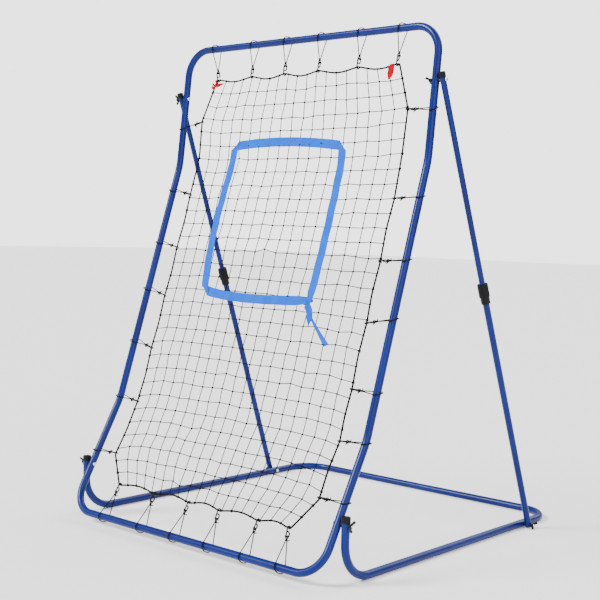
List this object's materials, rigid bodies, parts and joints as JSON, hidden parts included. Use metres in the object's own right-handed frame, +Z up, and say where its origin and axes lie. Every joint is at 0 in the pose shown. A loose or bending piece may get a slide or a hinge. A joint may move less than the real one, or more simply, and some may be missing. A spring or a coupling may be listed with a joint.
{
  "type": "pitch back rebounder",
  "caption": "Tilting tube frame with a slack ball net on elastic loops, held over a floor base by telescopic struts with twist locks and wing nuts.",
  "frame": {"origin": "on the floor, on the centre plane, straight under the axis of the frame's bottom bar", "axes": "+Z up, -Y towards the thrower, +Y towards the base's rear bar, +X to the thrower's right"},
  "size_m": [1.28, 1.3043, 1.6755],
  "materials": {
    "blue_steel": "gloss powder coat",
    "black_plastic": "moulded, slightly textured",
    "zinc_steel": "zinc plated",
    "net_twine": "knotted twine",
    "rope": "braided",
    "elastic_cord": "braided elastic",
    "hook_wire": "coated wire",
    "blue_ribbon": "flat woven ribbon",
    "red_ribbon": "flat woven ribbon"
  },
  "bodies": {
    "base": {"base_left_end_cap": "black_plastic", "base_left_rail": "blue_steel", "base_rear_bar": "blue_steel", "base_right_end_cap": "black_plastic", "base_right_rail": "blue_steel", "lower_pivot_bolts": "zinc_steel", "rear_pivot_bolts": "zinc_steel", "lower_pivot_spacers": "black_plastic", "rear_pivot_spacers": "black_plastic"},
    "frame": {"elastic_loops_bottom": "elastic_cord", "elastic_loops_left": "elastic_cord", "elastic_loops_right": "elastic_cord", "elastic_loops_top": "elastic_cord", "frame_bottom_bar": "blue_steel", "frame_left_side_tube": "blue_steel", "frame_right_side_tube": "blue_steel", "frame_top_bar": "blue_steel", "hooks_bottom": "hook_wire", "hooks_left": "hook_wire", "hooks_right": "hook_wire", "hooks_top": "hook_wire", "upper_pivot_bolts": "zinc_steel", "upper_pivot_spacers": "black_plastic", "net_panel": "net_twine", "border_rope": "rope", "strike_zone_ribbon": "blue_ribbon", "ribbon_tie": "blue_ribbon", "left_corner_marker": "red_ribbon", "right_corner_marker": "red_ribbon"},
    "strut_left_lower": {"strut_left_lower_tube": "blue_steel", "strut_left_foot_plug": "black_plastic", "strut_left_collar": "black_plastic", "strut_left_collet": "black_plastic"},
    "strut_left_upper": {"strut_left_upper_tube": "blue_steel", "strut_left_top_cap": "black_plastic"},
    "left_twist_nut": {"strut_left_twist_nut": "black_plastic"},
    "lower_left_wing": {"lower_left_wing_nut": "black_plastic"},
    "rear_left_wing": {"rear_left_wing_nut": "black_plastic"},
    "upper_left_wing": {"upper_left_wing_nut": "black_plastic"},
    "strut_right_lower": {"strut_right_lower_tube": "blue_steel", "strut_right_foot_plug": "black_plastic", "strut_right_collar": "black_plastic", "strut_right_collet": "black_plastic"},
    "strut_right_upper": {"strut_right_upper_tube": "blue_steel", "strut_right_top_cap": "black_plastic"},
    "right_twist_nut": {"strut_right_twist_nut": "black_plastic"},
    "lower_right_wing": {"lower_right_wing_nut": "black_plastic"},
    "rear_right_wing": {"rear_right_wing_nut": "black_plastic"},
    "upper_right_wing": {"upper_right_wing_nut": "black_plastic"}
  },
  "joints": [
    {"name": "frame_tilt", "type": "hinge", "parent": "base", "child": "frame", "pos_m": [0, 0.07898, 0.17737], "axis": [-1, 0, 0], "range_deg": [-8, 8]},
    {"name": "left_strut_swing", "type": "hinge", "parent": "base", "child": "strut_left_lower", "pos_m": [-0.6115, 1.068, 0.0125], "axis": [-1, 0, 0], "range_deg": [-5.6, 5.6]},
    {"name": "left_strut_extend", "type": "slide", "parent": "strut_left_lower", "child": "strut_left_upper", "axis": [0.0183, -0.3668, 0.9301], "range_m": [-0.125, 0.125]},
    {"name": "left_nut_twist", "type": "hinge", "parent": "strut_left_lower", "child": "left_twist_nut", "pos_m": [-0.59537, 0.74522, 0.831], "axis": [0.0183, -0.3668, 0.9301], "range_deg": [-90, 90]},
    {"name": "left_lower_nut_spin", "type": "hinge", "parent": "base", "child": "lower_left_wing", "pos_m": [0, 0.07898, 0.17737], "axis": [1, 0, 0], "continuous": true},
    {"name": "left_rear_nut_spin", "type": "hinge", "parent": "base", "child": "rear_left_wing", "pos_m": [0, 1.068, 0.0125], "axis": [1, 0, 0], "continuous": true},
    {"name": "left_upper_nut_spin", "type": "hinge", "parent": "frame", "child": "upper_left_wing", "pos_m": [0, 0.48763, 1.48419], "axis": [1, 0, 0], "continuous": true},
    {"name": "right_strut_swing", "type": "hinge", "parent": "base", "child": "strut_right_lower", "pos_m": [0.6115, 1.068, 0.0125], "axis": [-1, 0, 0], "range_deg": [-5.6, 5.6]},
    {"name": "right_strut_extend", "type": "slide", "parent": "strut_right_lower", "child": "strut_right_upper", "axis": [-0.0183, -0.3668, 0.9301], "range_m": [-0.125, 0.125]},
    {"name": "right_nut_twist", "type": "hinge", "parent": "strut_right_lower", "child": "right_twist_nut", "pos_m": [0.59537, 0.74522, 0.831], "axis": [-0.0183, -0.3668, 0.9301], "range_deg": [-90, 90]},
    {"name": "right_lower_nut_spin", "type": "hinge", "parent": "base", "child": "lower_right_wing", "pos_m": [0, 0.07898, 0.17737], "axis": [1, 0, 0], "continuous": true},
    {"name": "right_rear_nut_spin", "type": "hinge", "parent": "base", "child": "rear_right_wing", "pos_m": [0, 1.068, 0.0125], "axis": [1, 0, 0], "continuous": true},
    {"name": "right_upper_nut_spin", "type": "hinge", "parent": "frame", "child": "upper_right_wing", "pos_m": [0, 0.48763, 1.48419], "axis": [1, 0, 0], "continuous": true}
  ],
  "couplings": [
    {"joint": "left_strut_swing", "follows": "frame_tilt", "ratio": 0.6737},
    {"joint": "left_strut_extend", "follows": "frame_tilt", "m_per_rad": -0.85957},
    {"joint": "right_strut_swing", "follows": "frame_tilt", "ratio": 0.6737},
    {"joint": "right_strut_extend", "follows": "frame_tilt", "m_per_rad": -0.85957}
  ]
}
